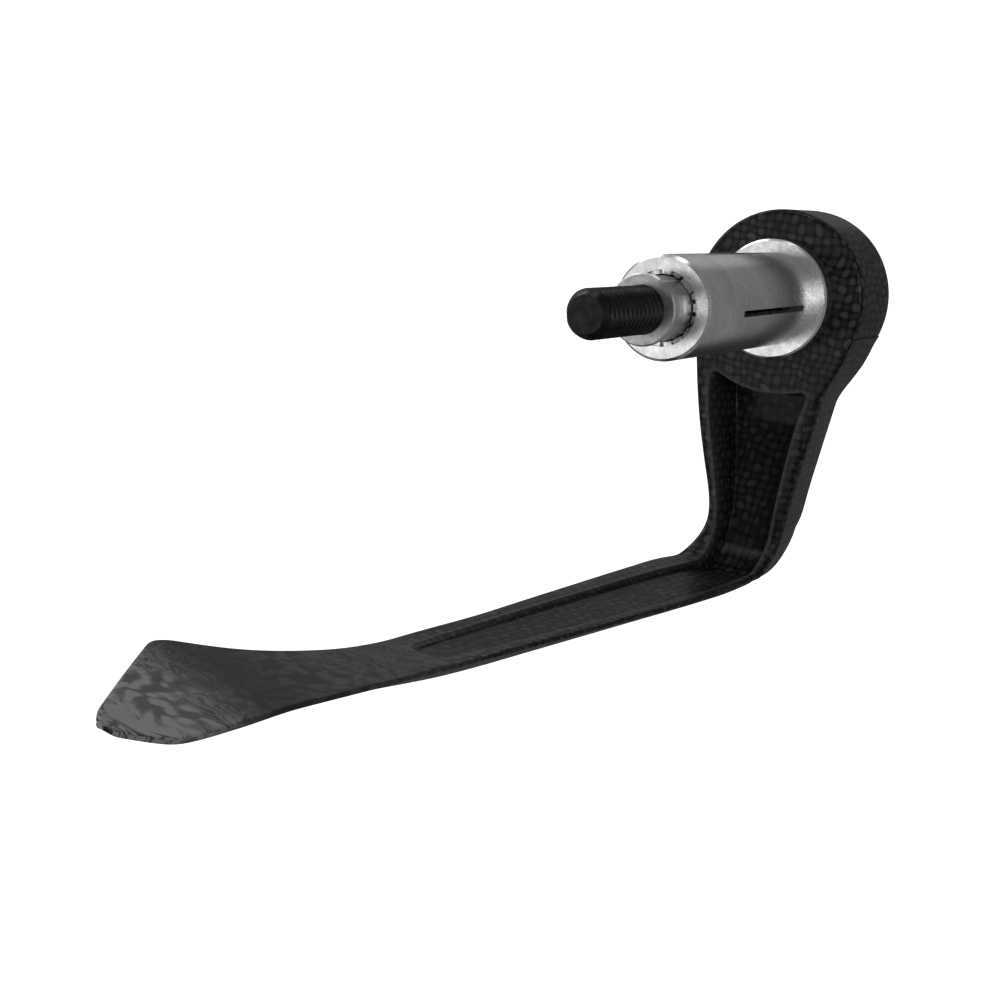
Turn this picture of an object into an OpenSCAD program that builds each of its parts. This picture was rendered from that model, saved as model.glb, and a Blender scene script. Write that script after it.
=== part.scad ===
// Lever guard for a bicycle or motorcycle handlebar end.
// A carbon arm hangs from an eye outside the bar end, bends inboard in front of
// the brake lever and ends in a flat blade. An expanding aluminium plug holds it
// in the bar: a long screw draws a wedge cone into the mouth of a slotted sleeve.
// Origin: plug axis at the sleeve flange's inboard face. -Y runs into the bar,
// +Z is up, and the arm hangs in the plane X = 0. Millimetres throughout.

/* [Plug] */
// Outside diameter of the sleeve that goes into the bar
sleeve_d = 14.5; // [13.8:0.1:18]
// Length of the sleeve, from the flange to its mouth
sleeve_l = 40; // [34:1:60]
// Wall of the sleeve
sleeve_wall = 2.05; // [1.5:0.05:2.5]
// Diameter of the flange that stops on the bar end
flange_d = 18.7; // [17:0.1:26]
// Thickness of the flange
flange_t = 3.4; // [2:0.1:5]
// Diameter of the spigot that centres the eye
spigot_d = 12; // [11:0.1:12.5]
// Height of the spigot
spigot_h = 2.6; // [1.5:0.1:3]
// Width of each slot in the sleeve
slot_w = 0.9; // [0.6:0.1:1.5]
// Number of slots around the sleeve
slot_n = 4; // [2:1:6]
// Length of each slot
slot_l = 24; // [10:1:28]
// Distance from the flange to the slots
slot_gap = 4; // [3.5:0.5:6]

/* [Wedge] */
// How far the cone stands out of the sleeve mouth when loose
cone_out = 6.2; // [5:0.1:8]
// How much wider the cone is at its outer face than at its tail
cone_step = 0.9; // [0.6:0.1:1.2]
// Length of the cone, tail included
cone_l = 12; // [10:0.5:16]
// Narrowing of the cone's radius for each millimetre of length
cone_taper = 0.12; // [0.1:0.01:0.16]
// Radial play of the cone's straight tail in the split ring
tail_play = 0.2; // [0.15:0.05:0.3]
// Wall of the split ring in the sleeve mouth
ring_wall = 0.6; // [0.5:0.05:0.65]
// Length of the split ring
ring_l = 5; // [3:0.5:7]
// Number of serrations on the ring's outer end
ring_teeth = 18; // [8:1:24]
// Width of the key that stops the cone from turning
key_w = 2.2; // [1.6:0.1:3]
// Angle of the key around the plug, from +X towards +Z
key_angle = 50; // [30:1:60]

/* [Screw] */
// Thread diameter of the clamp screw
screw_d = 6.6; // [6.4:0.05:7]
// Length of the screw under its head
screw_l = 71; // [66:1:90]
// Diameter of the screw head
head_d = 11; // [10:0.1:13]
// Height of the screw head
head_h = 8; // [6:0.1:8]
// Hexagon key size, across the flats
hex_af = 5; // [4:0.5:6]
// Depth of the hexagon socket
hex_depth = 4; // [3:0.5:5]
// Outside diameter of the washer under the head
washer_d = 14.6; // [14:0.1:14.6]
// Thickness of the washer
washer_t = 1.6; // [1:0.1:2]

/* [Eye] */
// Diameter of the eye at its inboard face
eye_d = 28; // [26:0.5:36]
// Thickness of the eye
eye_t = 14; // [13:0.5:18]
// Draft of the eye: how much wider its radius is at the back
eye_draft = 0.2; // [0:0.1:1]
// Outside diameter of the metal insert
insert_d = 17; // [16.6:0.1:18]
// Diameter of the insert's outboard collar
collar_d = 20.6; // [19:0.1:22]
// Thickness of the collar
collar_t = 1.5; // [1:0.1:2]
// Diameter of the recess for the screw head
recess_d = 15; // [14.8:0.1:15.2]

/* [Arm] */
// Distance from the plug axis to the arm's inner face at the bend
reach = 43.8; // [38:1:60]
// Radius of the bend on its inner face
bend_r = 5.5; // [4:0.5:10]
// How steeply the arm climbs back towards the bar after the bend, in degrees
climb = 4.2; // [2:0.1:6]
// Length of the straight stretch, from the bend to the hook
span_l = 86; // [60:1:110]
// Length of the curved end stretch with the blade
hook_l = 55.5; // [48:0.5:70]
// Radius of the curved end stretch
hook_r = 300; // [240:10:500]
// Half width of the arm beside the eye
root_w = 10.1; // [9:0.1:12]
// Half width of the arm above the bend
leg_w = 6.9; // [6:0.1:9]
// Half width of the arm just past the bend
span_w = 8; // [7:0.1:10]
// Half width of the neck before the blade
neck_w = 4.5; // [4:0.1:6]
// Half width of the blade on its long corner
blade_w = 10; // [8:0.1:12]
// Half width of the blade on its tip side
tip_w = 6.6; // [5:0.1:8]
// Twist of the blade, in degrees
blade_twist = 15; // [0:1:25]
// Thickness of the arm in its straight stretch
span_t = 3.2; // [3:0.1:6]
// Thickness of the blade near its tip
blade_t = 1.8; // [1.4:0.1:3]
// Depth of the channel in the leg, at the eye
leg_depth = 10.2; // [8:0.1:11]
// Depth of the channel at the start of the straight stretch
span_depth = 1; // [0.7:0.1:1.4]
// Width of the rim beside the channel, on the arm's +X side
rim_w = 1.6; // [1.2:0.1:2]
// How much the leg narrows from its inner face to its back, on each side
side_draft = 1.1; // [0:0.1:1.5]

/* [Fits] */
// Radial clearance of a turning or sliding fit
run_fit = 0.05; // [0.02:0.01:0.1]
// Radial clearance of a screw or key that only passes through
pass_fit = 0.3; // [0.2:0.05:0.5]

/* [Hidden] */
$fn = 96;

eye_back = flange_t + eye_t;
sleeve_r = sleeve_d / 2;
bore_r = sleeve_r - sleeve_wall;
bore_end = -slot_gap + 1;
tail_d = 2 * (bore_r - ring_wall - tail_play);
cone_d = tail_d + cone_step;
cone_face = -(sleeve_l + cone_out);
cone_tail = cone_face + cone_l;
thread_r = screw_d / 2 - run_fit;
head_top = eye_back - 0.4;
head_seat = head_top - head_h;
washer_seat = head_seat - washer_t;
screw_tip = head_seat - screw_l;
key_floor = tail_d / 2 - 0.27;
// Turns the sleeve's seam line away from its slots, in degrees
seam_turn = 8;

// ---- The arm's path: its inner face, from the eye down, round the bend and inboard ----
leg_end = reach - bend_r;
bend_turn = 90 + climb;
bend_end = leg_end + bend_r * bend_turn * PI / 180;
span_end = bend_end + span_l;
arm_end = span_end + hook_l;
root_s = eye_d / 2 + 3;
leg_mid = (root_s + leg_end) / 2 + 1;
channel_from = eye_d / 2 + 1.4;
channel_to = span_end + 1.8;

// The direction out of the inner face after a turn of t degrees, as [y, z]
function outward(t) = [cos(t), -sin(t)];
function ahead(t) = [-sin(t), -cos(t)];
bend_at = [flange_t - bend_r, -leg_end];
span_from = bend_at + bend_r * outward(bend_turn);
hook_from = span_from + span_l * ahead(bend_turn);
hook_at = hook_from - hook_r * outward(bend_turn);

// How far the path has turned at distance s, in degrees
function turn(s) =
    s < leg_end ? 0 :
    s < bend_end ? (s - leg_end) / bend_r * 180 / PI :
    s < span_end ? bend_turn :
    bend_turn + (s - span_end) / hook_r * 180 / PI;

// The point of the inner face's middle line at distance s, as [y, z]
function place(s) =
    s < leg_end ? [flange_t, -s] :
    s < bend_end ? bend_at + bend_r * outward(turn(s)) :
    s < span_end ? span_from + (s - bend_end) * ahead(bend_turn) :
    hook_at + hook_r * outward(turn(s));

function ease(a, b, s) = let (t = max(0, min(1, (s - a) / (b - a)))) t * t * (3 - 2 * t);

// ---- Stations along the path: [distance, value] ----
// The arm's edges, as distances from its middle line
left_edge = [
    [4, eye_d / 2 - 0.6], [root_s - 4.4, root_w + 2.7], [root_s, root_w + 2.1], [root_s + 3, root_w + 1.3],
    [leg_mid, (root_w + leg_w) / 2 - 0.7], [leg_end - 1, leg_w - 1.4], [bend_end - 3, leg_w + 0.4],
    [bend_end + 4, span_w + 0.5], [bend_end + 16, span_w + 0.2], [bend_end + 46, (span_w + neck_w) / 2 + 0.6],
    [span_end, neck_w + 0.5], [span_end + 0.14 * hook_l, neck_w + 0.9],
    [span_end + 0.3 * hook_l, neck_w + 2.4], [span_end + 0.43 * hook_l, blade_w - 1.8],
    [arm_end - 23.3, blade_w + 0.1], [arm_end - 21.6, blade_w + 0.2], [arm_end - 19.8, blade_w - 0.1],
    [arm_end - 18, blade_w - 1], [arm_end - 2.6, -1], [arm_end - 0.7, -2.7], [arm_end, -3.4]];
right_edge = [
    [4, eye_d / 2 - 0.6], [root_s - 4.4, root_w + 2.7], [root_s, root_w + 0.4], [root_s + 3, root_w - 0.2],
    [leg_mid, (root_w + leg_w) / 2 + 0.1], [leg_end - 1, leg_w + 0.9], [bend_end - 3, leg_w + 0.3],
    [bend_end + 16, span_w], [bend_end + 46, (span_w + neck_w) / 2 + 0.6], [span_end, neck_w + 0.3],
    [span_end + 0.14 * hook_l, neck_w], [span_end + 0.52 * hook_l, neck_w], [arm_end - 16, tip_w - 0.9],
    [arm_end - 8, tip_w + 0.1], [arm_end - 5.4, tip_w], [arm_end - 1.8, tip_w - 1.1],
    [arm_end - 0.6, tip_w - 1.7], [arm_end, tip_w - 2.5]];
// The channel's edges: its far wall stays near the middle line while the arm widens
left_wall = [
    [root_s - 2, root_w - 1.2], [root_s + 3, root_w - 1.5], [leg_mid, (root_w + leg_w) / 2 - 2.8],
    [leg_end, leg_w - 3.4], [bend_end + 14, leg_w - 3.1], [span_end - 38, neck_w - 1.2],
    [span_end - 6, neck_w - 2.1], [span_end, neck_w - 2.3]];
right_wall = [
    [root_s - 1, root_w - 2.3], [root_s + 4, leg_w - 0.1], [leg_mid, leg_w - 0.8], [leg_end, leg_w - 1.1],
    [bend_end + 14, span_w - rim_w + 0.1], [bend_end + 30, span_w - rim_w + 0.1],
    [bend_end + 64, neck_w + 1.1], [span_end - 8, neck_w + 0.2], [span_end, neck_w - 0.5]];
floor_depth = [
    [root_s, leg_depth], [root_s + 5, leg_depth - 0.1], [leg_mid + 2, 0.7 * leg_depth],
    [leg_end, 0.46 * leg_depth], [bend_end - 4, 0.28 * leg_depth], [bend_end + 1, span_depth + 0.3],
    [bend_end + 14, span_depth], [bend_end + 30, 0.85 * span_depth], [span_end - 20, 0.65 * span_depth],
    [span_end, 0.5 * span_depth]];

// A smooth line through a list of [position, value] stations
function slope_at(t, i) =
    i == 0 || i == len(t) - 1 ? 0 : (t[i + 1][1] - t[i - 1][1]) / (t[i + 1][0] - t[i - 1][0]);
function find(t, s, i = 0) = i >= len(t) - 2 || s < t[i + 1][0] ? i : find(t, s, i + 1);
function smooth(t, s) =
    let (i = find(t, s), w = t[i + 1][0] - t[i][0], q = max(0, min(1, (s - t[i][0]) / w)),
         m0 = slope_at(t, i) * w, m1 = slope_at(t, i + 1) * w)
    (2 * q ^ 3 - 3 * q ^ 2 + 1) * t[i][1] + (q ^ 3 - 2 * q ^ 2 + q) * m0
    + (3 * q ^ 2 - 2 * q ^ 3) * t[i + 1][1] + (q ^ 3 - q ^ 2) * m1;

// ---- The arm's depths ----
leg_t = eye_t - 0.2;
function thickness(s) =
    leg_t + (span_t + 0.5 - leg_t) * ease(leg_end - 3, bend_end - 0.5, s)
    - 0.5 * ease(bend_end, bend_end + 20, s)
    + (blade_t - span_t) * ease(span_end - 10, span_end + 30, s)
    - 0.5 * blade_t * ease(arm_end - 14, arm_end, s);
// Depth of the square part of the arm's side, before its back is crowned
side_min = 0.5;
function side(s) =
    s < leg_end ? leg_t - 0.9 :
    side_min + (leg_t - 0.9 - side_min) * max(0, 1 - (s - leg_end) / (bend_end - leg_end)) ^ 2.2;
function channel(s) =
    smooth(floor_depth, s) * ease(channel_from - 0.4, channel_from + 0.6, s)
    * (1 - ease(channel_to - 1.5, channel_to, s));
function twist(s) = blade_twist * ease(span_end + 7, arm_end - 6, s);

// The arm's section, from its left edge across the channel to its right edge, and back
// over the crowned back. The channel's wall tops lie at -a and b.
wall_draft = 0.6;
function section(l, r, a, b, side, t, depth, draft) =
    let (w = l + r, rr = min(0.9, 0.75 * side, 0.15 * w), g = min(0.2, 0.04 * w),
         d = min(wall_draft, 0.08 * w),
         rim = min(1.3, 0.3 * w), left = min(a, l - rim), right = min(b, r - rim),
         mid = (r - l) / 2, half = w / 2 - draft)
    [[-l, rr], [0.3 * rr - l, 0.3 * rr], [rr - l, 0], [-left - g, 0], [g - left, min(0.3, depth / 3)],
     [d - left, depth - min(0.5, depth / 4)], [d + 2 * g - left, depth], [right - d - 2 * g, depth],
     [right - d, depth - min(0.5, depth / 4)], [right - g, min(0.3, depth / 3)], [right + g, 0],
     [r - rr, 0], [r - 0.3 * rr, 0.3 * rr], [r, rr], [r - draft, side],
     for (k = [0.93, 0.8, 0.6, 0.35, 0, -0.35, -0.6, -0.8, -0.93])
         [mid + half * k, side + (t - side) * (1 - k * k)],
     [draft - l, side]];

// Near the eye the sections curve up at their sides, so the channel's end follows the eye
function lift(s, x) = (1 - ease(root_s + 1, root_s + 12, s)) * (root_s - sqrt(root_s ^ 2 - x ^ 2));

function ring_at(s) =
    let (draft = side_draft * (1 - ease(bend_end - 4, bend_end + 4, s)), p = place(s), o = outward(turn(s)),
         loop = section(smooth(left_edge, s), smooth(right_edge, s), smooth(left_wall, s),
         smooth(right_wall, s), side(s), thickness(s), channel(s), draft), a = twist(s))
    [for (q = loop) let (x = q[0] * cos(a) - q[1] * sin(a), v = q[0] * sin(a) + q[1] * cos(a))
        [x, p[0] + v * o[0], p[1] + v * o[1] + lift(s, x)]];

// Distances along the path at which the arm has a section
stations = concat(
    [4, 8, 12, channel_from - 1],
    [for (i = [0:3]) channel_from - 0.4 + i / 3],
    [for (i = [0:7]) channel_from + 1.6 + i * (leg_end - channel_from - 1.6) / 8],
    [for (i = [0:9]) leg_end + i * (bend_end - leg_end) / 10],
    [for (i = [0:9]) bend_end + i * (channel_to - 4 - bend_end) / 10],
    [for (i = [0:4]) channel_to - 4 + i],
    [for (i = [0:11]) channel_to + 0.7 + i * (arm_end - 22.7 - channel_to) / 12],
    [for (i = [0:9]) arm_end - 22 + i * 2.2], [arm_end - 1.2, arm_end - 0.5, arm_end]);

module skin(rings) {
    m = len(rings[0]);
    n = len(rings);
    back = 19;
    faces = concat(
        [for (j = [0:n - 2], i = [0:m - 1], k = [0, 1])
            let (a = j * m + i, b = j * m + (i + 1) % m, c = a + m, d = b + m)
            k == 0 ? [a, b, d] : [a, d, c]],
        [for (i = [1:m - 2]) let (b = back + i, c = b + 1) [back, c % m, b % m]],
        [for (i = [1:m - 2]) let (b = back + i, c = b + 1) [back, b % m, c % m] + (n - 1) * m * [1, 1, 1]]);
    polyhedron(points = [for (r = rings) each r], faces = faces, convexity = 8);
}

module along_y(y = 0) {
    translate([0, y, 0]) rotate([-90, 0, 0]) children();
}

module disc(y0, y1, r) {
    along_y(y0) cylinder(h = y1 - y0, r = r);
}

module guard_arm() {
    color([0.09, 0.09, 0.1]) difference() {
        union() {
            skin([for (s = stations) ring_at(s)]);
            along_y(flange_t) rotate_extrude() polygon([[0, 0], [eye_d / 2 - 0.8, 0],
                [eye_d / 2 - 0.2, 0.25], [eye_d / 2, 0.8], [eye_d / 2 + eye_draft, eye_t - 2],
                [eye_d / 2 + eye_draft - 0.6, eye_t - 0.6], [eye_d / 2 + eye_draft - 2, eye_t], [0, eye_t]]);
        }
        disc(flange_t - 1, eye_back + 1, insert_d / 2);
        disc(eye_back - collar_t, eye_back + 1, collar_d / 2);
    }
}

module eye_insert() {
    color([0.72, 0.73, 0.76]) difference() {
        union() {
            disc(flange_t, eye_back, insert_d / 2);
            disc(eye_back - collar_t, eye_back, collar_d / 2);
        }
        disc(flange_t - 1, flange_t + spigot_h + 0.1, spigot_d / 2 + run_fit);
        disc(flange_t, eye_back, screw_d / 2 + pass_fit);
        disc(washer_seat, eye_back + 1, recess_d / 2);
    }
}

module plug_sleeve() {
    color([0.78, 0.8, 0.84]) difference() {
        rotate([0, seam_turn, 0]) along_y() rotate_extrude() polygon([[0, -sleeve_l],
            [sleeve_r - 0.4, -sleeve_l], [sleeve_r, 0.4 - sleeve_l], [sleeve_r, 0], [flange_d / 2 - 0.3, 0],
            [flange_d / 2, 0.3], [flange_d / 2, flange_t - 0.2], [flange_d / 2 - 0.2, flange_t],
            [spigot_d / 2, flange_t], [spigot_d / 2, flange_t + spigot_h], [0, flange_t + spigot_h]]);
        disc(-sleeve_l - 1, bore_end, bore_r);
        disc(bore_end - 1, flange_t + spigot_h + 1, screw_d / 2 + pass_fit);
        for (i = [0:slot_n - 1]) rotate([0, i * 360 / slot_n, 0])
            translate([bore_r - 1, -slot_gap - slot_l, -slot_w / 2]) cube([sleeve_wall + 2, slot_l, slot_w]);
    }
}

// A block that lies along the key's direction, from radius r0 to r1
module key_block(r0, r1, y0, y1, w) {
    rotate([0, -key_angle, 0]) translate([r0, y0, -w / 2]) cube([r1 - r0, y1 - y0, w]);
}

module split_ring() {
    color([0.86, 0.86, 0.84]) difference() {
        disc(-sleeve_l + 0.2, -sleeve_l + 0.2 + ring_l, bore_r);
        disc(-sleeve_l - 1, 1, bore_r - ring_wall);
        key_block(0, bore_r + 1, -sleeve_l - 1, 1, key_w + 0.6);
        for (i = [0:ring_teeth - 1]) rotate([0, i * 360 / ring_teeth, 0])
            translate([bore_r - ring_wall - 1, -sleeve_l - 1, -0.3]) cube([ring_wall + 2, 2.1, 0.6]);
    }
}

module cone_key() {
    color([0.9, 0.9, 0.88]) intersection() {
        disc(-sleeve_l, 0, bore_r);
        key_block(key_floor + 0.08, bore_r + 1, -sleeve_l + 0.6, -sleeve_l + 12, key_w);
    }
}

module wedge_cone() {
    run = (cone_d - tail_d) / 2 / cone_taper;
    color([0.85, 0.85, 0.84]) difference() {
        along_y() rotate_extrude() polygon([[0, cone_face], [cone_d / 2 - 0.2, cone_face],
            [cone_d / 2, cone_face + 0.2], [tail_d / 2, cone_face + run], [tail_d / 2, cone_tail],
            [0, cone_tail]]);
        disc(cone_face - 1, cone_tail + 1, screw_d / 2);
        key_block(key_floor, cone_d, cone_face - 1, cone_tail + 1, key_w + 0.3);
    }
}

module clamp_screw() {
    color([0.07, 0.07, 0.08]) difference() {
        along_y() rotate_extrude() polygon([[0, screw_tip], [thread_r - 0.8, screw_tip],
            [thread_r, screw_tip + 0.8], [thread_r, head_seat], [head_d / 2, head_seat],
            [head_d / 2, head_top - 0.6], [head_d / 2 - 0.6, head_top], [0, head_top]]);
        along_y(head_top - hex_depth) cylinder(h = hex_depth + 1, d = hex_af / cos(30), $fn = 6);
    }
}

module head_washer() {
    color([0.6, 0.6, 0.62]) difference() {
        disc(washer_seat, head_seat, washer_d / 2);
        disc(washer_seat - 1, head_seat + 1, screw_d / 2 + pass_fit);
    }
}

guard_arm();
eye_insert();
plug_sleeve();
split_ring();
cone_key();
wedge_cone();
clamp_screw();
head_washer();
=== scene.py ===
"""Looks of a lever guard for a handlebar end: a carbon arm on an expanding aluminium plug."""

import math

import bpy
import numpy as np
from mathutils import Matrix, Vector


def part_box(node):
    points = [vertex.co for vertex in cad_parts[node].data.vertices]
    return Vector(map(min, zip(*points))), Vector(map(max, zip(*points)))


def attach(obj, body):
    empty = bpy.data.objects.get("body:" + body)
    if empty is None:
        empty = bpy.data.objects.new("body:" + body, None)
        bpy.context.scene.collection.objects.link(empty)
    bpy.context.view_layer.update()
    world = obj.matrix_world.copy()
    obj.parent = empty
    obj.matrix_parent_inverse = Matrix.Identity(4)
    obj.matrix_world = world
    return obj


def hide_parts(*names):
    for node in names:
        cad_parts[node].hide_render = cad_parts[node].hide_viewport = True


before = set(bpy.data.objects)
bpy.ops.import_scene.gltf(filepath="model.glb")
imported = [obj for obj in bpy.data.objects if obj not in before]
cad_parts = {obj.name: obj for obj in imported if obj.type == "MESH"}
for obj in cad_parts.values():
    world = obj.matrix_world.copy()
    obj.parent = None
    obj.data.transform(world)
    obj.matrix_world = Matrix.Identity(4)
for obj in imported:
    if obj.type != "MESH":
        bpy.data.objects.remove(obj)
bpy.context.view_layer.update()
MM = 0.001


def box_mm(node):
    """The lowest and highest corner of a CAD node, in millimetres."""
    low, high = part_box(node)
    return np.array(low) / MM, np.array(high) / MM


# ---------------------------------------------------------------- the arm's path and sizes, in mm
insert_low, insert_high = box_mm("eye_insert")
FACE = insert_low[1]
EYE_T = insert_high[1] - FACE
EYE_R = 14.0
REACH, BEND_R = 43.8, 5.5
SPAN_L, HOOK_L, HOOK_R = 86.0, 55.5, 300.0
# Half widths along the arm, and the width of the span's right rim
ROOT_W, LEG_W, SPAN_W, NECK_W, BLADE_W, TIP_W = 10.1, 6.9, 8.0, 4.5, 10.0, 6.6
RIM_W = 1.6
# Thickness of the span and the blade, and depth of the channel in the leg and the span
SPAN_T, BLADE_T = 3.2, 1.8
LEG_DEPTH, SPAN_DEPTH = 10.2, 1.0
# How much each side of the leg draws in towards its outer face
SIDE_DRAFT = 1.1
# In degrees: how far the span leans past square to the leg, the whole bend, and the blade's twist
CLIMB = 4.2
BEND_TURN = 90 + CLIMB
TWIST = 15.0

# Distances along the inner face, measured from the eye's centre
BLEND_FROM, BLEND_TO = 6, 16
LEG_END = REACH - BEND_R
BEND_END = LEG_END + math.radians(BEND_TURN) * BEND_R
SPAN_END = BEND_END + SPAN_L
ARM_END = SPAN_END + HOOK_L
ROOT_S = EYE_R + 3
LEG_MID = (ROOT_S + LEG_END) / 2 + 1
CHANNEL_FROM, CHANNEL_TO = EYE_R + 1.4, SPAN_END + 1.8

# Stations of the outline: (distance along the arm, half width) on its left and right side
LEFT = [
    (4, EYE_R - 0.6), (ROOT_S - 4.4, ROOT_W + 2.7), (ROOT_S, ROOT_W + 2.1), (ROOT_S + 3, ROOT_W + 1.3),
    (LEG_MID, (ROOT_W + LEG_W) / 2 - 0.7), (LEG_END - 1, LEG_W - 1.4), (BEND_END - 3, LEG_W + 0.4),
    (BEND_END + 4, SPAN_W + 0.5), (BEND_END + 16, SPAN_W + 0.2), (BEND_END + 46, (SPAN_W + NECK_W) / 2 + 0.6),
    (SPAN_END, NECK_W + 0.5), (SPAN_END + 7.8, NECK_W + 0.9), (SPAN_END + 16.7, NECK_W + 2.4),
    (SPAN_END + 23.9, BLADE_W - 1.8), (ARM_END - 23.3, BLADE_W + 0.1), (ARM_END - 21.6, BLADE_W + 0.2),
    (ARM_END - 19.8, BLADE_W - 0.1), (ARM_END - 18, BLADE_W - 1), (ARM_END - 2.6, -1),
    (ARM_END - 0.7, -2.7), (ARM_END, -3.4)]
RIGHT = [
    (4, EYE_R - 0.6), (ROOT_S - 4.4, ROOT_W + 2.7), (ROOT_S, ROOT_W + 0.4), (ROOT_S + 3, ROOT_W - 0.2),
    (LEG_MID, (ROOT_W + LEG_W) / 2 + 0.1), (LEG_END - 1, LEG_W + 0.9), (BEND_END - 3, LEG_W + 0.3),
    (BEND_END + 16, SPAN_W), (BEND_END + 46, (SPAN_W + NECK_W) / 2 + 0.6), (SPAN_END, NECK_W + 0.3),
    (SPAN_END + 7.8, NECK_W), (SPAN_END + 28.9, NECK_W), (ARM_END - 16, TIP_W - 0.9),
    (ARM_END - 8, TIP_W + 0.1), (ARM_END - 5.4, TIP_W), (ARM_END - 1.8, TIP_W - 1.1),
    (ARM_END - 0.6, TIP_W - 1.7), (ARM_END, TIP_W - 2.5)]
# Stations of the channel's edges, and of the depth of its floor
LEFT_WALL = [
    (ROOT_S - 2, ROOT_W - 1.2), (ROOT_S + 3, ROOT_W - 1.5), (LEG_MID, (ROOT_W + LEG_W) / 2 - 2.8),
    (LEG_END, LEG_W - 3.4), (BEND_END + 14, LEG_W - 3.1), (SPAN_END - 38, NECK_W - 1.2),
    (SPAN_END - 6, NECK_W - 2.1), (SPAN_END, NECK_W - 2.3)]
RIGHT_WALL = [
    (ROOT_S - 1, ROOT_W - 2.3), (ROOT_S + 4, LEG_W - 0.1), (LEG_MID, LEG_W - 0.8), (LEG_END, LEG_W - 1.1),
    (BEND_END + 14, SPAN_W - RIM_W + 0.1), (BEND_END + 30, SPAN_W - RIM_W + 0.1),
    (BEND_END + 64, NECK_W + 1.1), (SPAN_END - 8, NECK_W + 0.2), (SPAN_END, NECK_W - 0.5)]
FLOOR = [
    (ROOT_S, LEG_DEPTH), (ROOT_S + 5, LEG_DEPTH - 0.1), (LEG_MID + 2, 0.7 * LEG_DEPTH),
    (LEG_END, 0.46 * LEG_DEPTH), (BEND_END - 4, 0.28 * LEG_DEPTH), (BEND_END + 1, SPAN_DEPTH + 0.3),
    (BEND_END + 14, SPAN_DEPTH), (BEND_END + 30, 0.85 * SPAN_DEPTH), (SPAN_END - 20, 0.65 * SPAN_DEPTH),
    (SPAN_END, 0.5 * SPAN_DEPTH)]


def ease(a, b, s):
    """A smooth step from 0 at a to 1 at b."""
    q = np.clip((s - a) / (b - a), 0, 1)
    return q * q * (3 - 2 * q)


def smooth(table, s):
    """A smooth line through a list of (position, value) stations."""
    xs = np.array([p[0] for p in table])
    ys = np.array([p[1] for p in table])
    slopes = np.zeros(len(xs))
    slopes[1:-1] = (ys[2:] - ys[:-2]) / (xs[2:] - xs[:-2])
    i = np.clip(np.searchsorted(xs, s, side="right") - 1, 0, len(xs) - 2)
    w = xs[i + 1] - xs[i]
    q = np.clip((s - xs[i]) / w, 0, 1)
    return ((2 * q**3 - 3 * q**2 + 1) * ys[i] + (q**3 - 2 * q**2 + q) * slopes[i] * w
            + (3 * q**2 - 2 * q**3) * ys[i + 1] + (q**3 - q**2) * slopes[i + 1] * w)


def turn(s):
    """How far the arm has turned at distance s, in degrees."""
    return np.where(s < LEG_END, 0.0, np.where(
        s < BEND_END, np.degrees((s - LEG_END) / BEND_R),
        BEND_TURN + np.degrees(np.clip(s - SPAN_END, 0, None) / HOOK_R)))


def outward(degrees):
    """The [y, z] direction from the inner face to the outer face after a turn."""
    r = np.radians(degrees)
    return np.stack([np.cos(r), -np.sin(r)], -1)


def ahead(degrees):
    """The [y, z] direction along the arm after a turn."""
    r = np.radians(degrees)
    return np.stack([-np.sin(r), -np.cos(r)], -1)


BEND_AT = np.array([FACE - BEND_R, -LEG_END])
SPAN_FROM = BEND_AT + BEND_R * outward(BEND_TURN)
HOOK_FROM = SPAN_FROM + SPAN_L * ahead(BEND_TURN)
HOOK_AT = HOOK_FROM - HOOK_R * outward(BEND_TURN)


def place(s):
    """The [y, z] point of the inner face's middle line at distance s."""
    o = outward(turn(s))
    leg = np.stack([np.full_like(s, FACE), -s], -1)
    bend = BEND_AT + BEND_R * o
    span = SPAN_FROM + (s - BEND_END)[..., None] * ahead(BEND_TURN)
    hook = HOOK_AT + HOOK_R * o
    s = s[..., None]
    return np.where(s < LEG_END, leg, np.where(s < BEND_END, bend, np.where(s < SPAN_END, span, hook)))


def depth_of(s):
    """Thickness of the arm at distance s."""
    leg_t = EYE_T - 0.2
    bend_t = SPAN_T + 0.5
    return (EYE_T - 0.2 * ease(BLEND_FROM, BLEND_TO, s)
            + (bend_t - leg_t) * ease(LEG_END - 3, BEND_END - 0.5, s)
            - 0.5 * ease(BEND_END, BEND_END + 20, s)
            + (BLADE_T - SPAN_T) * ease(SPAN_END - 10, SPAN_END + 30, s)
            - 0.5 * BLADE_T * ease(ARM_END - 14, ARM_END, s) - 0.4 * ease(ARM_END - 1.6, ARM_END, s))


def lift(s, x):
    """How far a section's sides curve up towards the eye."""
    keep = ease(2, 14, s) * (1 - ease(ROOT_S + 1, ROOT_S + 12, s))
    return keep * (ROOT_S - np.sqrt(ROOT_S**2 - np.clip(np.abs(x), 0, EYE_R) ** 2))


def on_circle(s):
    """Half width where a lifted section meets the eye's circle, or 0 where it doesn't."""
    tries = 1401
    x = np.linspace(0, EYE_R, tries)
    z = s[:, None] - lift(s[:, None], x[None, :])
    inside = x[None, :] ** 2 + z**2 <= EYE_R**2
    widest = tries - 1 - inside[:, ::-1].argmax(1)
    return np.where(inside.any(1), x[widest], 0.0)


def half_widths(s):
    """The arm's half width on its left and right side: the eye's circle, blended into the stations."""
    soft = 0.25
    circle = np.where(s < 0, np.sqrt(np.clip(EYE_R**2 - s**2, 0, None)), on_circle(s))
    sides = []
    for table in (LEFT, RIGHT):
        edge = np.where(s > BLEND_FROM, smooth(table, s), 0)
        both = np.logaddexp(circle / soft, edge / soft) * soft
        sides.append(np.where(s < BLEND_FROM, circle, np.where(s < BLEND_TO, both - 0.02, edge)))
    return sides


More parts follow.
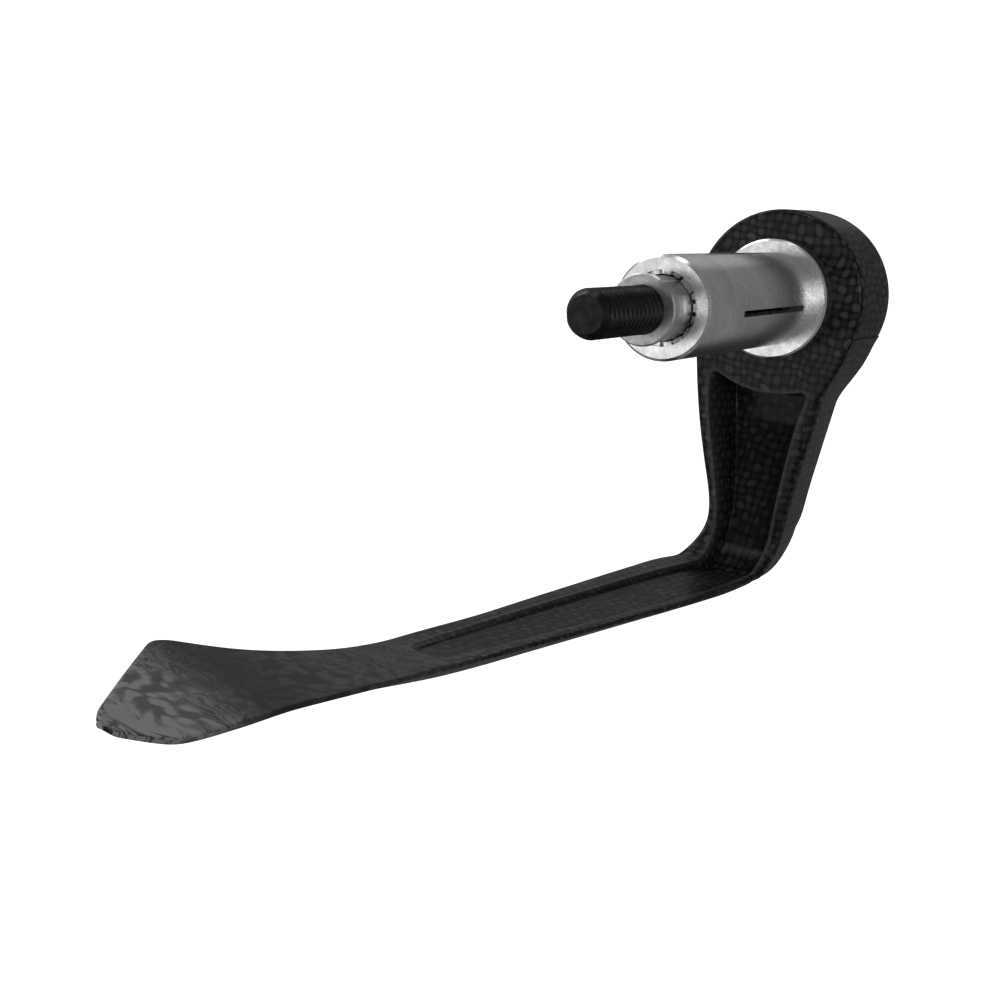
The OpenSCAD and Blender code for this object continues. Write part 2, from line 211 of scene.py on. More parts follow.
# ---------------------------------------------------------------- mesh helpers
def smooth_faces(mesh, smooth_angle):
    """Smooth shading, with sharp edges where faces meet at more than an angle in degrees."""
    mesh.polygons.foreach_set("use_smooth", [True] * len(mesh.polygons))
    mesh.set_sharp_from_angle(angle=math.radians(smooth_angle))


def new_object(name, points, faces, smooth_angle=35, uvs=None):
    """A mesh object from points in mm."""
    mesh = bpy.data.meshes.new(name)
    mesh.from_pydata((np.asarray(points) * MM).tolist(), [], [list(map(int, f)) for f in faces])
    if uvs is not None:
        layer = mesh.uv_layers.new(name="weave")
        layer.data.foreach_set("uv", np.asarray(uvs, np.float32).ravel())
    # Faces turn outwards: a closed mesh then has a positive volume
    mesh.calc_loop_triangles()
    corners = np.empty(len(mesh.loop_triangles) * 3, np.int32)
    mesh.loop_triangles.foreach_get("vertices", corners)
    tri = np.asarray(points, float)[corners.reshape(-1, 3)]
    if np.einsum("ij,ij->", tri[:, 0], np.cross(tri[:, 1], tri[:, 2])) < 0:
        mesh.flip_normals()
    smooth_faces(mesh, smooth_angle)
    mesh.update()
    obj = bpy.data.objects.new(name, mesh)
    bpy.context.scene.collection.objects.link(obj)
    return obj


def lathe(name, profile, count, radius=None, smooth_angle=35):
    """A body turned round the plug's axis. profile lists (radius, y) and starts and ends on the axis.
    radius(r, y, angle) may change each point's radius."""
    ring = np.array(profile[1:-1])
    r, y = ring[:, :1], ring[:, 1:]
    a = (np.arange(count) * 2 * np.pi / count)[None, :]
    rr = np.broadcast_to(r, (len(ring), count)) if radius is None else radius(r, y, a)
    pts = np.stack([rr * np.cos(a), np.broadcast_to(y, rr.shape), rr * np.sin(a)], -1).reshape(-1, 3)
    pts = np.vstack([pts, [[0, profile[0][1], 0], [0, profile[-1][1], 0]]])
    first, last = len(pts) - 2, len(pts) - 1
    end = (len(ring) - 1) * count
    faces = []
    for j in range(len(ring) - 1):
        for i in range(count):
            k = (i + 1) % count
            faces.append([j * count + i, j * count + k, (j + 1) * count + k, (j + 1) * count + i])
    for i in range(count):
        k = (i + 1) % count
        faces.append([first, k, i])
        faces.append([last, end + i, end + k])
    return new_object(name, pts, faces, smooth_angle)


def cut(obj, tool, smooth_angle):
    """Cuts the tool out of obj, and removes the tool."""
    modifier = obj.modifiers.new("cut", "BOOLEAN")
    modifier.operation = "DIFFERENCE"
    modifier.solver = "EXACT"
    modifier.object = tool
    bpy.context.view_layer.update()
    graph = bpy.context.evaluated_depsgraph_get()
    mesh = bpy.data.meshes.new_from_object(obj.evaluated_get(graph))
    obj.modifiers.clear()
    obj.data = mesh
    bpy.data.objects.remove(tool)
    smooth_faces(mesh, smooth_angle)
    return obj


# ---------------------------------------------------------------- the arm as one detailed shell
# Columns close to the outline and to the channel's edge, as distances from it
EDGE = np.array([0, 0.04, 0.11, 0.2, 0.32, 0.46, 0.62, 0.8, 1.0])
WALL_STEPS = np.array([-0.28, -0.2, -0.11, 0, 0.12, 0.28, 0.45, 0.6, 0.7, 0.82, 0.98, 1.2])
# Columns between them, from left to right, and on each side of the arm
LEFT_COLUMNS, FLOOR_COLUMNS, RIGHT_COLUMNS, SIDE_COLUMNS = 4, 11, 3, 7
# The columns draw closer together where the arm's half width or the channel's width is under these
FULL_HALF, FULL_CHANNEL = 4.5, 3.5
# Least material beside the channel and under it
LEAST_RIM, LEAST_FLOOR = 1.8, 1.2
# The channel's wall: its rounded lip and foot, and the distance that its slope and its foot take
LIP_R, FOOT_R, WALL_RUN, FOOT_RUN = 0.28, 0.45, 0.6, 0.5


def spread(a, b, step):
    """Even steps from a up to b, without b."""
    return np.linspace(a, b, max(2, int(round((b - a) / step)) + 1))[:-1]


def arm_rows():
    """Distances of the arm's rows, closest where its shape changes most."""
    # The rows of the eye's upper half lie at these angles from its top, in degrees
    from_top = np.concatenate([[0.8], np.arange(3, 90, 3)])
    return np.concatenate([
        -EYE_R * np.cos(np.radians(from_top)),
        spread(0, CHANNEL_FROM - 0.28, 0.5), CHANNEL_FROM + WALL_STEPS,
        spread(CHANNEL_FROM + 1.5, LEG_END - 4, 0.6), spread(LEG_END - 4, BEND_END + 3, 0.3),
        spread(BEND_END + 3, CHANNEL_TO - 4.2, 1.0), spread(CHANNEL_TO - 4.2, CHANNEL_TO + 0.3, 0.14),
        spread(CHANNEL_TO + 0.3, ARM_END - 24, 0.7), spread(ARM_END - 24, ARM_END - 2, 0.3),
        spread(ARM_END - 2, ARM_END, 0.12), [ARM_END]])


def between(a, b, count):
    """Evenly spaced columns from the last column of a to the first of b, without both."""
    f = np.linspace(0, 1, count + 2)[None, 1:-1]
    return a[:, -1:] * (1 - f) + b[:, :1] * f


def closed(inner, outer):
    """A row's whole loop: the inner face, one side, the outer face and the other side."""
    outer = outer[:, ::-1]
    return np.hstack([inner, between(inner, outer, SIDE_COLUMNS), outer,
                      between(outer, inner, SIDE_COLUMNS)])


def lean_of(s, side):
    """Cosine of the angle between the outline and the arm's middle line."""
    slope = np.gradient(side[:, 0], s)
    return np.where(s < 0, 1.0, 1 / np.sqrt(1 + np.clip(slope, -1, 1) ** 2))[:, None]


def channel_walls(s, sides, scale):
    """Where the channel's left and right edge lie, with a rim left beside each."""
    return [np.minimum(smooth(table, s)[:, None], side - LEAST_RIM * scale)
            for table, side in zip((LEFT_WALL, RIGHT_WALL), sides)]


def columns(sides, leans, walls, scale):
    """Where each row's points lie across the arm, closest at the outline and at the channel's walls."""
    fine = np.minimum(scale, (walls[0] + walls[1]) / FULL_CHANNEL)
    edge_l = -sides[0] + EDGE * scale / leans[0]
    edge_r = sides[1] - (EDGE * scale / leans[1])[:, ::-1]
    steps_l = -walls[0] + WALL_STEPS * fine
    steps_r = walls[1] - (WALL_STEPS * fine)[:, ::-1]
    return np.hstack([edge_l, between(edge_l, steps_l, LEFT_COLUMNS), steps_l,
                      between(steps_l, steps_r, FLOOR_COLUMNS), steps_r,
                      between(steps_r, edge_r, RIGHT_COLUMNS), edge_r])


def inset_of(rows, u, sides, leans):
    """Distance of each point from the outline."""
    from_sides = np.minimum((u + sides[0]) * leans[0], (sides[1] - u) * leans[1])
    from_circle = EYE_R - np.sqrt(u**2 + rows**2)
    return np.clip(np.where(rows < 0, from_circle, from_sides), 0, None)


def rounding(radius, inset):
    """How far an edge of this radius falls back at a distance from the outline."""
    edge = np.clip(radius - inset, 0, None)
    return radius - np.sqrt(np.clip(radius**2 - edge**2, 0, None))


def side_height(rows, depth):
    """Height of the arm's sides: nearly its depth along the leg, and a thin edge after the bend."""
    thin = 0.5
    before = np.clip(1 - (rows - LEG_END) / (BEND_END - LEG_END), 0, 1)
    free = thin + (EYE_T - 1.6) * before**2.2
    return np.minimum(free, np.maximum(depth - 0.35, 0.6 * depth))


def inner_face(rows, u, inset, side, left, wall_l):
    """The inner face without its channel: rounded edges, and a far rim that falls away outwards."""
    bend = ease(LEG_END, BEND_END, rows)
    edge_r = 0.75 + 0.4 * ease(EYE_R, EYE_R + 6, rows) * (1 - bend) - 0.35 * bend
    edge_r = np.minimum(edge_r, 0.7 * side)
    flat_rim = wall_l + 0.9
    across = np.clip((-u - flat_rim) / np.maximum(left - flat_rim, 0.1), 0, 1)
    fall = 0.45 * ease(LEG_END, BEND_END + 4, rows) * (1 - ease(SPAN_END - 24, SPAN_END, rows))
    return rounding(edge_r, inset) + fall * across**1.4


def outer_face(rows, u, inset, depth, side, half, middle):
    """The outer face: flat behind the eye and leg, crowned behind the span and blade."""
    edge_r = 1.7 - 0.6 * (1 - ease(EYE_R, EYE_R + 5, rows))
    flat = depth - rounding(edge_r, inset)
    off_middle = np.clip(np.abs(u - middle) / half, 0, 1)
    crown = side + (depth - side) * (1 - off_middle**2.2)
    crowned = ease(LEG_END - 5, BEND_END - 1, rows)
    return flat * (1 - crowned) + crown * crowned


def channel(s, u, walls, depth):
    """Depth of the channel at each point, and the point's distance inside the channel's edge."""
    rows = s[:, None]
    from_side = np.minimum(u + walls[0], walls[1] - u)
    from_end = np.minimum(rows - CHANNEL_FROM, CHANNEL_TO - rows)
    corner = np.minimum(1.8 + 0.4 * (rows > LEG_END), 0.45 * (walls[0] + walls[1]))
    in_corner = (from_side < corner) & (from_end < corner)
    away = np.hypot(corner - from_side, corner - from_end)
    inside = np.where(in_corner, corner - away, np.minimum(from_side, from_end))
    full = np.minimum(smooth(FLOOR, s)[:, None], depth - LEAST_FLOOR)
    shallow = np.clip(full / 1.4, 0.25, 1)
    lip_r, foot_r = LIP_R * shallow, FOOT_R * shallow
    lip = rounding(lip_r, -inside)
    wall = lip_r + (full - lip_r - foot_r) * np.clip(inside / WALL_RUN, 0, 1)
    q = np.clip((inside - WALL_RUN) / FOOT_RUN, 0, 1)
    foot = full - foot_r + foot_r * np.sqrt(1 - (1 - q) ** 2)
    down = np.where(inside <= 0, lip, np.where(inside <= WALL_RUN, wall, foot))
    return np.where((inside > -lip_r) & (full > 0), down, 0), inside


def placed(s, ring_u, ring_v):
    """The rows' points in mm, with the blade twisted and the sections near the eye lifted."""
    rows = s[:, None]
    angle = np.radians(TWIST) * ease(SPAN_END + 7, ARM_END - 6, rows)
    x = ring_u * np.cos(angle) - ring_v * np.sin(angle)
    out = ring_u * np.sin(angle) + ring_v * np.cos(angle)
    at = place(s)[:, None, :]
    way = outward(turn(s))[:, None, :]
    y = at[..., 0] + out * way[..., 0]
    z = at[..., 1] + out * way[..., 1] + lift(rows, ring_u)
    return np.stack([x, y, z], -1).reshape(-1, 3)


def weave_uvs(rows, ring_u, ring_v, quads, caps):
    """Weave coordinates in mm: each face takes the two unrolled directions that it faces least."""
    unrolled = np.stack([ring_u, rows - lift(rows, ring_u), ring_v], -1).reshape(-1, 3)
    corners = unrolled[quads]
    normal = np.abs(np.cross(corners[:, 2] - corners[:, 0], corners[:, 3] - corners[:, 1]))
    pick = np.array([[2, 1], [0, 2], [0, 1]])[normal.argmax(1)]
    uv = np.take_along_axis(corners, pick[:, None, :].repeat(4, 1), 2)
    return np.vstack([uv.reshape(-1, 2)] + [unrolled[cap][:, :2] for cap in caps])


def bore_tool():
    """The stepped bore through the eye, which the insert fills."""
    body_r, collar_t, spare = 8.5, 1.5, 2
    collar_r = (insert_high[0] - insert_low[0]) / 2
    outer, shoulder = insert_high[1], insert_high[1] - collar_t
    return lathe("bore_tool", [
        (0, FACE - spare), (body_r, FACE - spare), (body_r, shoulder), (collar_r, shoulder),
        (collar_r, outer + spare), (0, outer + spare)], 128)


def build_arm():
    """The arm: rows of closed loops from the top of the eye to the tip, with the bore cut out."""
    s = arm_rows()
    rows = s[:, None]
    sides = [side[:, None] for side in half_widths(s)]
    leans = [lean_of(s, side) for side in sides]
    half = np.maximum((sides[0] + sides[1]) / 2, 0.05)
    middle = (sides[1] - sides[0]) / 2
    scale = np.minimum(1, half / FULL_HALF)
    walls = channel_walls(s, sides, scale)
    u = columns(sides, leans, walls, scale)
    inset = inset_of(rows, u, sides, leans)

    depth = depth_of(rows)
    side = side_height(rows, depth)
    sunk, inside = channel(s, u, walls, depth)
    inner = inner_face(rows, u, inset, side, sides[0], walls[0]) + sunk
    outer = np.maximum(outer_face(rows, u, inset, depth, side, half, middle), inner + 0.1)
    # The leg narrows towards its outer face, and the eye widens a little
    narrow = SIDE_DRAFT * ease(EYE_R, EYE_R + 5, rows) * (1 - ease(BEND_END - 4, BEND_END + 4, rows))
    narrow = narrow - 0.2 * (1 - ease(4, EYE_R, rows))
    u_outer = middle + (u - middle) * (1 - narrow / half)
    ring_u = closed(u, u_outer)
    ring_v = closed(inner, outer)

    n, m = ring_u.shape
    j, i = np.meshgrid(np.arange(n - 1), np.arange(m), indexing="ij")
    k = (i + 1) % m
    quads = np.stack([j * m + i, j * m + k, (j + 1) * m + k, (j + 1) * m + i], -1).reshape(-1, 4)
    caps = [[m - 1 - c for c in range(m)], [(n - 1) * m + c for c in range(m)]]
    uvs = weave_uvs(rows, ring_u, ring_v, quads, caps)
    shell = new_object("arm_shell", placed(s, ring_u, ring_v), quads.tolist() + caps, 38, uvs)
    # Masks for painted light: a painted highlight along the ridge at the channel's edge, and painted shade on
    # its sunken floor
    marks = {"ridge_highlight": np.exp(-(((inside + 0.25) / 0.4) ** 2)), "pit_shade": np.clip(inside / 0.8, 0, 1)}
    for name, mark in marks.items():
        layer = shell.data.attributes.new(name, "FLOAT", "POINT")
        whole = np.pad(mark, ((0, 0), (0, m - mark.shape[1])))
        layer.data.foreach_set("value", whole.astype(np.float32).ravel())
    return cut(shell, bore_tool(), 38)


# ---------------------------------------------------------------- the clamp screw with a real thread
THREAD_R, PITCH, THREAD_DEPTH, THREAD_L = 3.25, 1.25, 0.55, 47
TIP_CHAMFER = 0.8
# The hexagon socket: its width across flats and its depth
SOCKET_AF, SOCKET_DEEP = 5.0, 4.0


def socket_tool(top):
    """The hexagon that the socket cuts out of the screw's head."""
    corner_r = SOCKET_AF / 2 / math.cos(math.pi / 6)
    hexagon = [(corner_r * math.cos(k * math.pi / 3), corner_r * math.sin(k * math.pi / 3))
               for k in range(6)]
    pts = [(x, y, z) for y in (top - SOCKET_DEEP, top + 1) for x, z in hexagon]
    faces = [list(range(6)), list(range(11, 5, -1))]
    faces += [[k, k + 6, (k + 1) % 6 + 6, (k + 1) % 6] for k in range(6)]
    return new_object("socket_tool", pts, faces)


def build_screw():
    """The screw: a helical thread up from the tip, a plain shank, and a head with rounded edges."""
    low, high = box_mm("clamp_screw")
    tip, top = low[1], high[1]
    head_r = (high[0] - low[0]) / 2
    seat = box_mm("head_washer")[1][1]
    thread_to = tip + THREAD_L
    ys = np.concatenate([tip + np.array([0.0, 0.12, 0.3, 0.5]), np.arange(tip + 0.6, thread_to, PITCH / 10),
                         [thread_to + 0.6, seat - 0.4, seat - 0.05]])
    rs = np.full(len(ys), THREAD_R)
    rs[0] = THREAD_R - TIP_CHAMFER
    profile = [(0, tip)] + list(zip(rs, ys))
    profile += [(head_r - 0.5, seat), (head_r - 0.12, seat + 0.05), (head_r, seat + 0.3),
                (head_r, top - 0.9), (head_r - 0.1, top - 0.5), (head_r - 0.35, top - 0.18),
                (head_r - 0.75, top), (0, top)]

    def radius(r, y, a):
        phase = np.mod((y - tip) / PITCH - a / (2 * np.pi), 1.0)
        tooth = np.clip(1.3 - 2.75 * np.abs(phase - 0.5), 0, 1)
        fade = np.clip((thread_to - y) / 1.2, 0, 1)
        thread = THREAD_R - THREAD_DEPTH * (1 - tooth) * fade
        chamfer = THREAD_R - TIP_CHAMFER + (y - tip)
        return np.where(y < seat - 0.5, np.minimum(thread, chamfer), r + 0 * a)

    return cut(lathe("screw_threaded", profile, 96, radius, 30), socket_tool(top), 30)


arm = build_arm()
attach(arm, "arm")
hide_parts("guard_arm")
screw = build_screw()
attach(screw, "screw")
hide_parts("clamp_screw")


# ---------------------------------------------------------------- materials
class Paint:
    """A material under construction: short names for the shader nodes used below."""

    def __init__(self, name):
        self.mat = bpy.data.materials.new(name)
        self.mat.use_nodes = True
        self.tree = self.mat.node_tree
        self.shader = self.tree.nodes["Principled BSDF"]

    def node(self, kind, props=None, **sockets):
        """A shader node with these properties and inputs."""
        n = self.tree.nodes.new("ShaderNode" + kind)
        for key, value in (props or {}).items():
            setattr(n, key, value)
        for key, value in sockets.items():
            self.put(n.inputs[key.replace("_", " ")], value)
        return n

    def put(self, socket, value):
        """Links a node's output to the input, or sets the input to a value."""
        if isinstance(value, bpy.types.NodeSocket):
            self.tree.links.new(value, socket)
        elif value is not None:
            socket.default_value = value

    def math(self, op, a, b=None, c=None):
        n = self.tree.nodes.new("ShaderNodeMath")
        n.operation = op
        for socket, value in zip(n.inputs, (a, b, c)):
            self.put(socket, value)
        return n.outputs[0]

    def remap(self, value, a, b, c, d, kind="LINEAR"):
        """Maps the range from a to b onto the range from c to d."""
        n = self.tree.nodes.new("ShaderNodeMapRange")
        n.interpolation_type = kind
        for socket, v in zip(n.inputs, (value, a, b, c, d)):
            self.put(socket, v)
        return n.outputs[0]

    def mix(self, f, a, b):
        """A number between a and b."""
        n = self.tree.nodes.new("ShaderNodeMix")
        n.data_type = "FLOAT"
        for socket, v in zip((n.inputs[0], n.inputs[2], n.inputs[3]), (f, a, b)):
            self.put(socket, v)
        return n.outputs[0]

    def tint(self, f, a, b):
        """A colour between a and b."""
        n = self.tree.nodes.new("ShaderNodeMix")
        n.data_type = "RGBA"
        for socket, v in zip((n.inputs[0], n.inputs[6], n.inputs[7]), (f, a, b)):
            self.put(socket, v)
        return n.outputs[2]

    def noise(self, vector, scale, detail=2.0, distortion=0.0, rough=0.5):
        return self.node("TexNoise", None, Vector=vector, Scale=scale, Detail=detail,
                         Roughness=rough, Distortion=distortion).outputs[0]

    def scaled(self, vector, x, y, z, turn_z=0.0):
        n = self.node("Mapping", None, Vector=vector)
        n.inputs["Scale"].default_value = (x, y, z)
        n.inputs["Rotation"].default_value = (0, 0, turn_z)
        return n.outputs[0]

    def bump(self, height, distance, strength=1.0):
        return self.node("Bump", None, Height=height, Distance=distance, Strength=strength).outputs[0]

    def finish(self, **sockets):
        """Sets the surface's inputs, and gives the material."""
        for key, value in sockets.items():
            self.put(self.shader.inputs[key.replace("_", " ")], value)
        return self.mat


def grey(v):
    """A slightly warm grey."""
    return (v * 1.03, v * 0.985, v, 1)


# Width of a tow in mm, and how closely its fibres lie
TOW, FIBRES = 1.35, 21.0


def shifted(p, weave, field, amount):
    """The weave coordinates, moved by a noise field by up to this many mm."""
    n = p.node("VectorMath", {"operation": "MULTIPLY_ADD"})
    p.put(n.inputs[0], field.outputs["Color"])
    n.inputs[1].default_value = (amount, amount, 0)
    p.put(n.inputs[2], weave)
    return n.outputs[0]


def woven(p, weave):
    """The plain weave: its tone, the height of its tows, and their fibres."""
    warp = p.node("TexNoise", {"noise_dimensions": "2D"}, Vector=weave, Scale=0.16, Detail=2.0)
    xyz = p.node("SeparateXYZ", None, Vector=shifted(p, weave, warp, 2.6))
    u = p.math("DIVIDE", xyz.outputs[0], TOW)
    v = p.math("DIVIDE", xyz.outputs[1], TOW)
    iu, iv = p.math("FLOOR", u), p.math("FLOOR", v)
    fu, fv = p.math("FRACT", u), p.math("FRACT", v)
    over = p.math("LESS_THAN", p.math("FLOORED_MODULO", p.math("ADD", iu, iv), 2.0), 0.5)
    # Each crossing shows one tow as a small rounded scale, with dark resin between
    off_u = p.math("POWER", p.math("ABSOLUTE", p.math("MULTIPLY_ADD", fu, 2.0, -1.0)), 2.0)
    off_v = p.math("POWER", p.math("ABSOLUTE", p.math("MULTIPLY_ADD", fv, 2.0, -1.0)), 2.0)
    dome = p.remap(p.math("ADD", off_u, off_v), 0.2, 1.25, 1.0, 0.0, "SMOOTHSTEP")
    fibre_u = p.math("SINE", p.math("MULTIPLY", xyz.outputs[0], FIBRES))
    fibre_v = p.math("SINE", p.math("MULTIPLY", xyz.outputs[1], FIBRES))
    fibre = p.mix(over, fibre_v, fibre_u)
    cell = p.node("CombineXYZ", None, X=iu, Y=iv).outputs[0]
    luck = p.node("TexWhiteNoise", {"noise_dimensions": "2D"}, Vector=cell).outputs[0]
    tone = p.math("MULTIPLY", dome, p.mix(over, p.mix(luck, 0.2, 0.5), p.mix(luck, 0.5, 1.0)))
    tone = p.math("MULTIPLY_ADD", fibre, p.math("MULTIPLY", tone, 0.3), tone)
    broad = p.noise(p.scaled(weave, 0.11, 0.11, 1), 1.0, 2)
    tone = p.math("MULTIPLY", tone, p.remap(broad, 0.35, 0.65, 0.5, 1.15))
    return tone, dome, fibre


def marbled(p, weave, along):
    """The neck and blade: short fibres that flowed in the mould, as fine wavy lines and soft flakes,
    lightened by a painted sheen that is strongest at the tip.
    """
    flow = p.node("TexNoise", {"noise_dimensions": "2D"}, Vector=p.scaled(weave, 0.14, 0.14, 1),
                  Scale=1.0, Detail=2.0)
    bent = shifted(p, weave, flow, 5)
    bands = p.noise(p.scaled(bent, 0.42, 0.75, 1, 0.5), 1.0, 1.5, 0.6)
    line = p.remap(p.math("ABSOLUTE", p.math("SUBTRACT", bands, 0.5)), 0.008, 0.05, 0.0, 1.0, "SMOOTHSTEP")
    second = p.remap(p.math("ABSOLUTE", p.math("SUBTRACT", bands, 0.6)), 0.006, 0.04, 0.0, 1.0, "SMOOTHSTEP")
    flakes = p.node("TexVoronoi", {"voronoi_dimensions": "2D", "feature": "SMOOTH_F1"},
                    Vector=p.scaled(bent, 0.75, 0.5, 1), Scale=1.0, Randomness=1.0)
    flake = p.remap(flakes.outputs["Distance"], 0.1, 0.55, 1.0, 0.25, "SMOOTHSTEP")
    patch = p.noise(p.scaled(weave, 0.09, 0.06, 1), 1.0, 1)
    lines = p.math("MULTIPLY_ADD", p.math("MULTIPLY", line, second), 0.7, p.math("MULTIPLY", bands, 0.3))
    marble = p.mix(p.remap(patch, 0.4, 0.6, 0.0, 1.0, "SMOOTHSTEP"), lines, flake)
    # Painted sheen: the marble is lightened most at the tip, a little along the neck, and least across the
    # middle
    tip = p.remap(along, ARM_END - 24, ARM_END - 6, 0.0, 1.3, "SMOOTHSTEP")
    neck_sheen = p.remap(along, SPAN_END + 16, ARM_END - 22, 0.16, 0.0, "SMOOTHSTEP")
    return p.math("MULTIPLY", marble, p.math("ADD", p.math("ADD", tip, neck_sheen), 0.08)), line


def carbon():
    """Carbon fibre under a thin satin coat: woven on the eye, leg and span, marbled on the blade. Painted
    shade darkens the channel's floor, a painted highlight lightens its edge and a painted sheen lightens the
    blade.
    """
    p = Paint("carbon_clear_coat")
    weave = p.node("UVMap", {"uv_map": "weave"}).outputs[0]
    along = p.node("SeparateXYZ", None, Vector=weave).outputs[1]
    on_blade = p.remap(along, SPAN_END - 10, SPAN_END + 6, 0.0, 1.0, "SMOOTHSTEP")
    tone, dome, fibre = woven(p, weave)
    # The blade's marble already carries its painted sheen, lightest at the tip
    marble, line = marbled(p, weave, along)
    ridge_highlight = p.node("Attribute", {"attribute_name": "ridge_highlight"}).outputs["Fac"]
    pit_shade = p.node("Attribute", {"attribute_name": "pit_shade"}).outputs["Fac"]
    value = p.mix(on_blade, tone, marble)
    # Painted shade: the channel's sunken floor is darkened to 70% of its tone
    value = p.math("MULTIPLY", value, p.remap(pit_shade, 0.0, 1.0, 1.0, 0.7))
    dark = p.tint(on_blade, grey(0.003), grey(0.01))
    light = p.tint(on_blade, grey(0.06), grey(0.26))
    colour = p.tint(value, dark, light)
    # Painted highlight: the ridge along the channel's edge is lightened towards grey(0.1)
    colour = p.tint(p.math("MULTIPLY", ridge_highlight, 0.4), colour, grey(0.1))
    height = p.mix(on_blade, p.math("MULTIPLY_ADD", fibre, 0.12, dome), p.math("MULTIPLY", line, 0.4))
    coat_wave = p.noise(p.scaled(weave, 0.5, 0.5, 1), 1.0, 2)
    return p.finish(
        Base_Color=colour, Roughness=p.mix(value, 0.6, 0.45), IOR=1.15,
        Normal=p.bump(height, 0.00003, 0.6), Coat_Weight=0.35,
        Coat_Roughness=p.remap(coat_wave, 0.3, 0.7, 0.18, 0.26), Coat_IOR=1.35,
        Coat_Normal=p.bump(coat_wave, 0.00002, 0.5))


def metal(name, tone, rough, turned, scratches, blotch):
    """Bare or plated metal with a turned grain round the plug's axis, scratches and faint blotches."""
    p = Paint(name)
    # Noise scales are per metre: a larger scale along the axis makes rings, a smaller one long marks
    place_at = p.node("TexCoord").outputs["Object"]
    fine = p.noise(p.scaled(place_at, 900, 2640, 900), 1.0, 3, 0, 0.6)
    rings = p.noise(p.scaled(place_at, 30, 6600, 30), 1.0, 2)
    blot = p.noise(p.scaled(place_at, 130, 130, 130), 1.0, 4, 0.3)
    long_marks = p.noise(p.scaled(place_at, 2500, 120, 2500), 1.0, 2)
    mark = p.remap(long_marks, 0.68, 0.74, 0.0, 1.0, "SMOOTHSTEP")
    shade = p.mix(0.5, fine, blot)
    dull = tuple(c * (1 - 2.0 * blotch) for c in tone) + (1,)
    bright = tuple(min(1, c * (1 + 0.4 * blotch)) for c in tone) + (1,)
    colour = p.tint(p.remap(shade, 0.35, 0.65, 0, 1), dull, bright)
    if scratches:
        colour = p.tint(p.math("MULTIPLY", mark, scratches), colour, (0.95, 0.95, 0.95, 1))
    height = p.math("MULTIPLY_ADD", rings, turned, p.math("MULTIPLY", fine, 0.4))
    height = p.math("MULTIPLY_ADD", mark, scratches, height)
    roughness = p.remap(shade, 0.3, 0.7, rough * 1.15, rough * 0.85)
    return p.finish(Base_Color=colour, Metallic=1.0, Roughness=roughness,
                    Normal=p.bump(height, 0.000004, 0.7))


def paint(node, material):
    """Gives a CAD node or a piece its material."""
    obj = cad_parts.get(node) or bpy.data.objects[node]
    obj.data.materials.clear()
    obj.data.materials.append(material)


# Each metal piece: its material's name and tone, roughness, turned grain, scratches and blotches
METALS = (
    ("screw_threaded", "black_oxide", (0.03, 0.03, 0.031), 0.36, 0.3, 0.0, 0.25),
    ("plug_sleeve", "satin_aluminium", (0.8, 0.8, 0.81), 0.27, 0.9, 0.5, 0.16),
    ("eye_insert", "insert_aluminium", (0.5, 0.51, 0.53), 0.33, 0.8, 0.0, 0.12),
    ("wedge_cone", "cone_aluminium", (0.66, 0.66, 0.65), 0.4, 0.5, 0.0, 0.2),
    ("cone_key", "key_steel", (0.72, 0.72, 0.7), 0.35, 0.4, 0.0, 0.2),
    ("split_ring", "spring_steel", (0.7, 0.69, 0.66), 0.25, 0.2, 0.0, 0.45),
    ("head_washer", "zinc_steel", (0.5, 0.51, 0.53), 0.3, 0.5, 0.0, 0.15))
paint("arm_shell", carbon())
for piece, *finish in METALS:
    paint(piece, metal(*finish))


# ---------------------------------------------------------------- studio
LIT_POINT = Vector((0, -0.05, -0.02))


def softbox(name, way, distance, width, height, radiance):
    """A rectangular light of a given brightness, at a distance from the lit point and facing it."""
    data = bpy.data.lights.new(name, "AREA")
    data.shape = "RECTANGLE"
    data.size = width
    data.size_y = height
    data.energy = radiance * math.pi * width * height
    obj = bpy.data.objects.new(name, data)
    bpy.context.scene.collection.objects.link(obj)
    obj.location = LIT_POINT + Vector(way).normalized() * distance
    obj.rotation_euler = (LIT_POINT - obj.location).to_track_quat("-Z", "Y").to_euler()
    obj.visible_camera = False


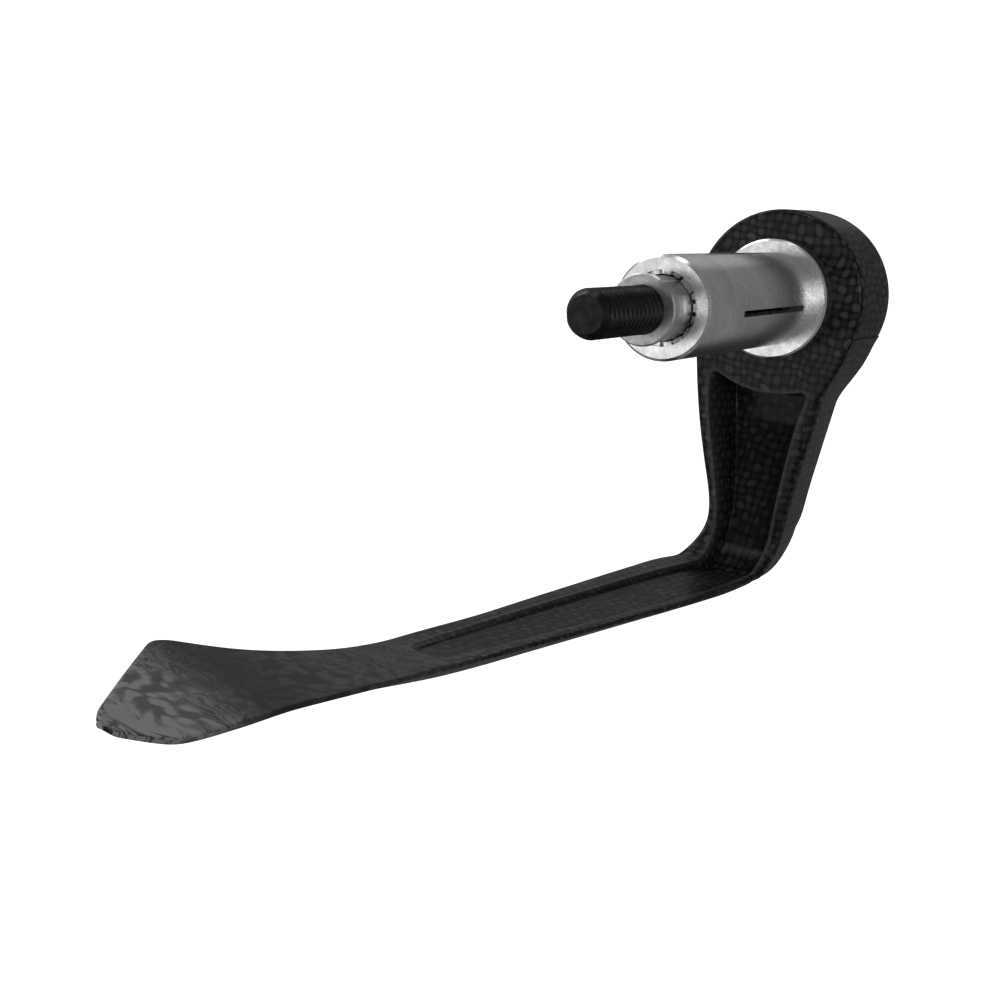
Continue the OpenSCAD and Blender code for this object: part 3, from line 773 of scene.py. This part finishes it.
def sweep():
    """A pale round floor that curves up into a wall all the way round. Sizes in metres."""
    floor_z, radius, run, top, count = -0.42, 0.6, 2.0, 2.2, 64
    line = [(0.02, floor_z)] + [
        (run + radius * math.sin(a), floor_z + radius * (1 - math.cos(a)))
        for a in np.linspace(0, math.pi / 2, 16)] + [(run + radius, top)]
    pts = [(r * math.cos(a) / MM, r * math.sin(a) / MM, z / MM)
           for r, z in line for a in np.linspace(0, 2 * math.pi, count, endpoint=False)]
    faces = []
    for j in range(len(line) - 1):
        for i in range(count):
            k = (i + 1) % count
            faces.append((j * count + i, j * count + k, (j + 1) * count + k, (j + 1) * count + i))
    faces.append(tuple(range(count)))
    obj = new_object("floor_sweep", pts, faces)
    p = Paint("pale_floor")
    obj.data.materials.append(p.finish(Base_Color=(0.9, 0.9, 0.9, 1), Roughness=0.9,
                                       Emission_Color=(1, 1, 1, 1), Emission_Strength=1.1))
    return obj


EYE_POINT = Vector((0.084, -0.2261, 0.0219))
RIGHT_WAY = Vector((0.8467, 0.5149, 0.1338)).normalized()
ROUGH_BACK = Vector((0.4751, -0.845, 0.2453))
BACK_WAY = (ROUGH_BACK - ROUGH_BACK.dot(RIGHT_WAY) * RIGHT_WAY).normalized()
UP_WAY = BACK_WAY.cross(RIGHT_WAY)
camera_data = bpy.data.cameras.new("camera")
camera_data.sensor_width = 36
camera_data.lens = 54
camera_data.clip_start = 0.01
camera = bpy.data.objects.new("camera", camera_data)
camera.matrix_world = Matrix([
    (RIGHT_WAY[i], UP_WAY[i], BACK_WAY[i], EYE_POINT[i]) for i in range(3)] + [(0, 0, 0, 1)])
bpy.context.scene.collection.objects.link(camera)
bpy.context.scene.camera = camera

floor = sweep()
floor.visible_glossy = False
floor.visible_diffuse = False
floor.visible_shadow = False
world = bpy.data.worlds.new("studio")
bpy.context.scene.world = world
world.use_nodes = True
background = world.node_tree.nodes["Background"]
background.inputs["Color"].default_value = (0.97, 0.985, 1.0, 1)
background.inputs["Strength"].default_value = 0.2
# Each light: its name, direction from the lit point, distance, width, height and radiance
BOXES = (
    ("front_box", (-0.33, -0.93, -0.14), 0.7, 0.3, 0.3, 1.2),
    ("front_right_box", (0.6, -0.8, 0.15), 0.7, 0.3, 0.3, 4.0),
    ("back_box", (-0.38, 0.85, 0.38), 0.8, 0.5, 0.26, 0.2),
    ("left_box", (-0.93, -0.2, 0.3), 0.6, 0.25, 0.3, 5.0),
    ("top_left_box", (-0.7, 0.2, 0.7), 0.6, 0.25, 0.25, 4.0),
    ("top_strip", (-0.2, -0.3, 0.93), 0.6, 0.12, 0.3, 4.0))
for box in BOXES:
    softbox(*box)
bpy.context.scene.view_settings.view_transform = "Standard"
bpy.context.scene.view_settings.look = "None"
